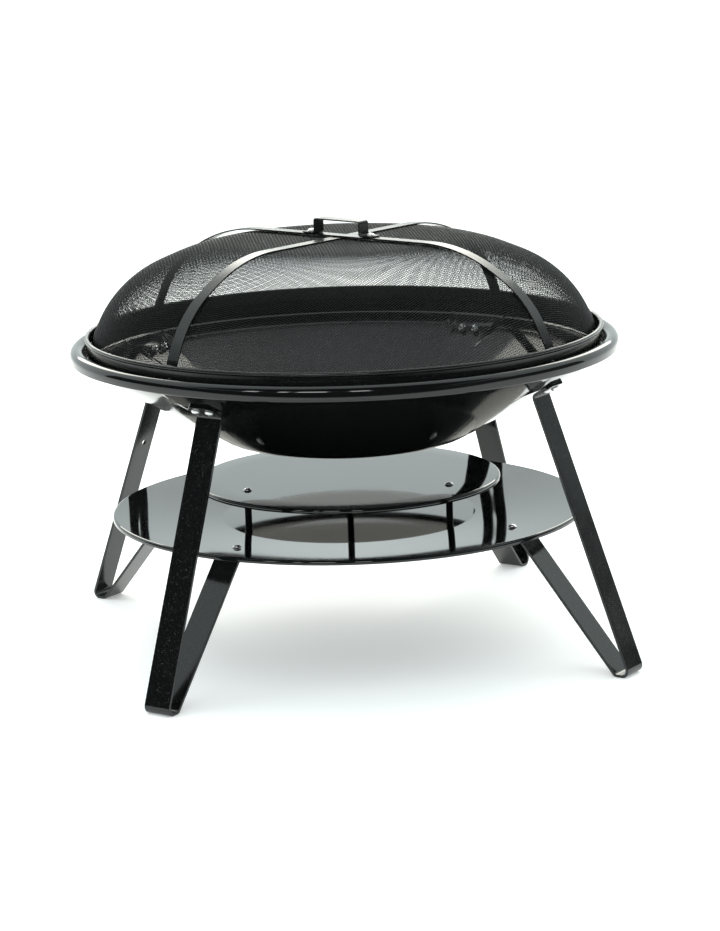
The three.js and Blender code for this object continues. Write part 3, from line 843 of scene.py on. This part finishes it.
def dome_mapper(profile):
    """A function that lays flat wire-cloth coordinates over the dome, keeping lengths from its crown."""
    steps = np.diff(profile, axis=0)
    lengths = np.linalg.norm(steps, axis=1)
    along = np.concatenate(((0,), np.cumsum(lengths)))
    slopes = np.vstack((steps[:1], (steps[:-1] + steps[1:]) / 2, steps[-1:]))
    slopes = slopes / np.linalg.norm(slopes, axis=1)[:, None]

    def lay(across, away):
        reach = np.maximum(np.hypot(across, away), 1e-9)
        radius = np.interp(reach, along, profile[:, 0])
        height = np.interp(reach, along, profile[:, 1])
        fall = np.column_stack([np.interp(reach, along, slopes[:, k]) for k in range(2)])
        fall = fall / np.linalg.norm(fall, axis=1)[:, None]
        x, y = across / reach, away / reach
        points = np.column_stack((x * radius, y * radius, height))
        normals = np.column_stack((-fall[:, 1] * x, -fall[:, 1] * y, fall[:, 0]))
        return points, normals

    return lay, along[-1]


def wire_nodes(line, reach):
    """Places along one wire of the cloth where it crosses others, with its two cut ends."""
    half = math.sqrt(max(reach ** 2 - line ** 2, 0))
    count = int(half / WIRE_PITCH)
    numbers = np.arange(-count, count + 1)
    places = np.concatenate(((-half,), numbers * WIRE_PITCH, (half,)))
    sides = np.concatenate(((0,), np.where(numbers % 2 == 0, 1, -1), (0,)))
    return places, sides


def woven_wires(first, last, along_x, lay, reach):
    """Vertices and faces of a run of parallel crimped wires, laid over the dome."""
    vertices, faces, start = [], [], 0
    for number in range(first, last):
        line = number * WIRE_PITCH
        if abs(line) > reach - WIRE_PITCH:
            continue
        places, sides = wire_nodes(line, reach)
        fixed = np.full(len(places), line)
        points, normals = lay(places, fixed) if along_x else lay(fixed, places)
        over = sides * (1 if number % 2 == 0 else -1) * (1 if along_x else -1)
        points = points + normals * (over * WIRE_CRIMP)[:, None]
        forward = np.gradient(points, axis=0)
        across = np.cross(forward, normals)
        across = across / np.linalg.norm(across, axis=1)[:, None]
        up = np.cross(across, forward)
        up = up / np.linalg.norm(up, axis=1)[:, None]
        for k in range(WIRE_SIDES):
            angle = math.radians(90 + 360 * k / WIRE_SIDES)
            vertices.append(points + (across * math.cos(angle) + up * math.sin(angle)) * WIRE_RADIUS)
        count = len(places)
        rows = np.arange(count - 1)
        for k in range(WIRE_SIDES):
            a = start + k * count + rows
            b = start + ((k + 1) % WIRE_SIDES) * count + rows
            faces.append(np.column_stack((a, b, b + 1, a + 1)))
        start += WIRE_SIDES * count
    return np.concatenate(vertices), np.concatenate(faces).tolist()


def add_lid_mesh():
    lay, reach = dome_mapper(dome_profile())
    count = int(reach / WIRE_PITCH)
    for along_x, family in ((True, "warp"), (False, "weft")):
        for first, last, side in ((-count, 0, "a"), (0, count + 1, "b")):
            shape = woven_wires(first, last, along_x, lay, reach)
            shape = moved(shape, about_z(LID_TURN + 45))
            name = f"lid_mesh_{family}_{side}"
            make_piece(name, shape, WIRE, "lid", ["lid_mesh"], sharp=180, cleaned=False)


def add_ring():
    band = np.vstack((
        [(RING_INNER, RING_BOTTOM + 0.4), (RING_INNER + 0.4, RING_BOTTOM)],
        [(RING_INNER + RING_SHEET - 0.4, RING_BOTTOM), (RING_INNER + RING_SHEET, RING_BOTTOM + 0.4)],
        arc(BEAD_CENTRE, BEAD_RADIUS, -105, 195, 22),
        [(RING_INNER, BEAD_CENTRE[1] - 2.4)],
    ))
    band = refined(band, lambda x, y: 12)
    shape = turned(band, even_angles(320), ring=True)
    make_piece("lid_ring_band", shape, LID, "lid", ["lid_ring"], sharp=40)


def strap_shape(height):
    half = [
        (STRAP_CROWN[0], height, STRAP_CROWN[1]),
        STRAP_SHOULDER,
        STRAP_SKIRT,
        (STRAP_END_RADIUS, STRAP_END),
    ]
    other = [(-corner[0], *corner[1:]) for corner in reversed(half)]
    path = refined(rounded_path([*other, *half], step=3), lambda x, y: 25)
    return strip(path, STRAP_SHEET, np.full(len(path), float(STRAP_WIDTH)))


def rivet_shape():
    """A domed rivet through a strap's end and the ring, along +X."""
    inner = STRAP_END_RADIUS - STRAP_SHEET / 2 - GAP
    outer = RING_INNER + RING_SHEET + GAP
    head = RIVET_RADIUS * 1.8
    tail = [(head, inner), (head, inner - 0.5), (head * 0.8, inner - 1.2), (0, inner - 1.4)]
    dome = [(head * math.cos(a), outer + 1.4 * math.sin(a)) for a in np.radians(np.linspace(0, 90, 7))]
    outline = np.array([*reversed(tail), (RIVET_RADIUS, inner), (RIVET_RADIUS, outer), *dome])
    lying = Matrix.Rotation(math.pi / 2, 4, "Y")
    return moved(turned(outline, even_angles(28)), at(0, 0, RIVET_HEIGHT) @ lying)


def add_straps():
    for name, height, turn in (("lower", LOWER_STRAP, 45), ("upper", UPPER_STRAP, -45)):
        node = f"lid_strap_{name}"
        shape = moved(strap_shape(height), about_z(LID_TURN + turn))
        make_piece(f"{node}_strip", shape, LID, "lid", [node], bevel=0.35)
    welds = []
    for number, (leg, azimuth) in enumerate(LEGS.items()):
        node = f"strap_rivet_{leg}"
        shape = moved(rivet_shape(), about_z(LID_TURN + azimuth))
        make_piece(f"{node}_head", shape, LID, "lid", [node], sharp=35)
        place = about_z(LID_TURN + azimuth) @ at(RING_INNER - 0.6, 0, BEAD_CENTRE[1] + 2.0)
        welds.append(moved(blob(4.5, 15, 3.2, number), place))
    spots = 24
    for number in range(spots):
        azimuth = LID_TURN + 360 * (number + 0.5) / spots
        place = about_z(azimuth) @ at(RING_INNER - 0.2, 0, BEAD_CENTRE[1] + 2.2)
        welds.append(moved(blob(2.4, 5.0, 1.6, number + 10), place))
    make_piece("lid_ring_welds", joined(welds), LID, "lid", ["lid_ring"], sharp=180)


def add_handle():
    skin = HANDLE_SHEET / 2
    half = [
        (HANDLE_SPAN - skin, HANDLE_TOP - skin, HANDLE_BEND),
        (HANDLE_SPAN - skin, HANDLE_SEAT + skin, HANDLE_BEND),
        (HANDLE_FOOT, HANDLE_SEAT + skin),
    ]
    other = [(-corner[0], *corner[1:]) for corner in reversed(half)]
    path = rounded_path([*other, *half], step=10)
    place = about_z(LID_TURN - 45)
    shape = moved(strip(path, HANDLE_SHEET, np.full(len(path), float(HANDLE_WIDTH))), place)
    make_piece("lid_handle_strip", shape, LID, "lid", ["lid_handle"], bevel=0.35)
    seat = HANDLE_SEAT + HANDLE_SHEET + GAP
    nut_top = MESH_TOP - MESH_SHEET - GAP
    for number, side in enumerate((-1, 1), start=1):
        hole = place @ at(side * HANDLE_SCREW, 0, 0)
        length = seat - nut_top + NUT_HEIGHT + BOLT_TAIL
        add_bolt(f"handle_screw_{number}", hole @ at(0, 0, seat), length, NUT_HEIGHT + BOLT_TAIL)
        add_nut(f"handle_nut_{number}", hole @ at(0, 0, nut_top - NUT_HEIGHT) @ about_z(25 * number))


# ---------------------------------------------------------------- log grate
def add_grate():
    inner, outer = GRATE_RADIUS - HOOP_WIDTH, GRATE_RADIUS
    low, high, soft = GRATE_BOTTOM, GRATE_BOTTOM + HOOP_HEIGHT, 0.8
    hoop = turned(np.array([
        (inner, low + soft), (inner + soft, low), (outer - soft, low), (outer, low + soft),
        (outer, high - soft), (outer - soft, high), (inner + soft, high), (inner, high - soft),
    ]), even_angles(160), ring=True)
    make_piece("grate_hoop", hoop, GRATE, "grate", ["fire_grate"], sharp=50)
    middle = GRATE_RADIUS - HOOP_WIDTH / 2
    height = high + ROD_RISE
    tie_height = height - TIE_DROP
    welds = []
    for number in range(ROD_COUNT):
        x = (number - (ROD_COUNT - 1) / 2) * ROD_PITCH
        half = math.sqrt(middle ** 2 - x ** 2)
        bar = rod((x, -half, height), (x, half, height), ROD_RADIUS)
        make_piece(f"grate_bar_{number + 1}", bar, GRATE, "grate", ["fire_grate"])
        for side in (-1, 1):
            for flank in (-1, 1):
                place = at(x + flank * ROD_RADIUS * 0.8, side * (half - HOOP_WIDTH / 2), high + 0.2)
                welds.append(moved(blob(4.6, 7.5, 3.0, number * 4 + side + flank), place))
        welds.append(moved(blob(10, 6, 3.0, number + 50), at(x, 0, tie_height + ROD_RADIUS * 0.5)))
    tie = rod((-middle, 0, tie_height), (middle, 0, tie_height), ROD_RADIUS)
    make_piece("grate_tie", tie, GRATE, "grate", ["fire_grate"])
    make_piece("grate_welds", joined(welds), GRATE, "grate", ["fire_grate"], sharp=180)


# ---------------------------------------------------------------- the scene
bpy.context.scene.view_settings.view_transform = "Standard"
add_camera()
add_world((0.90, 1.0, 0.985), 1.2)
add_softbox("back_panel", (0, 2.8, 1.95), (3.6, 1.5), 4.5, color=(1.0, 0.97, 0.88))
add_softbox("overhead", (0, 0.4, 3.2), (2.4, 1.8), 2.0, reflected=False)
add_flag("flag_left", upright(-5.5, -1.5, 9, 0.02, 3.5), 0.02)
add_flag("flag_front", upright(0, -6, 12, 0.02, 5.5), 0.02)
add_flag("flag_right", upright(5.5, -1.5, 9, 0.02, 3.5), 0.08)
add_flag("flag_above", level_card(-6, -1.2, 6, 4.8), 0.01)
add_flag("flag_floor", level_card(-9, -1.7, 6, 0.004), 0.01)
add_strip_lights()
add_floor()

BOWL = enamel("bowl_enamel", (0.0035, 0.004, 0.004), 0.08, 5, 0.008, 0.05)
LEG = enamel("leg_enamel", (0.004, 0.0045, 0.0045), 0.14, 3, 0.015, 0.5)
SHELF = enamel("shelf_enamel", (0.004, 0.005, 0.005), 0.05, 40, 0.01, 0.1)
POST = enamel("post_enamel", (0.004, 0.0045, 0.0045), 0.14, 3, 0.012, 0.2)
LID = enamel("lid_enamel", (0.005, 0.0055, 0.0055), 0.22, 2, 0.015, 0.3)
WIRE, _ = shader_material("lid_mesh_wire", (0.013, 0.014, 0.014), 0.36)
GRATE = rough_black("grate_steel")
ZINC = zinc_plate("zinc")

add_bowl()
for leg, azimuth in LEGS.items():
    add_leg(leg, azimuth)
add_shelf()
add_shield()
add_lid_mesh()
add_ring()
add_straps()
add_handle()
add_grate()
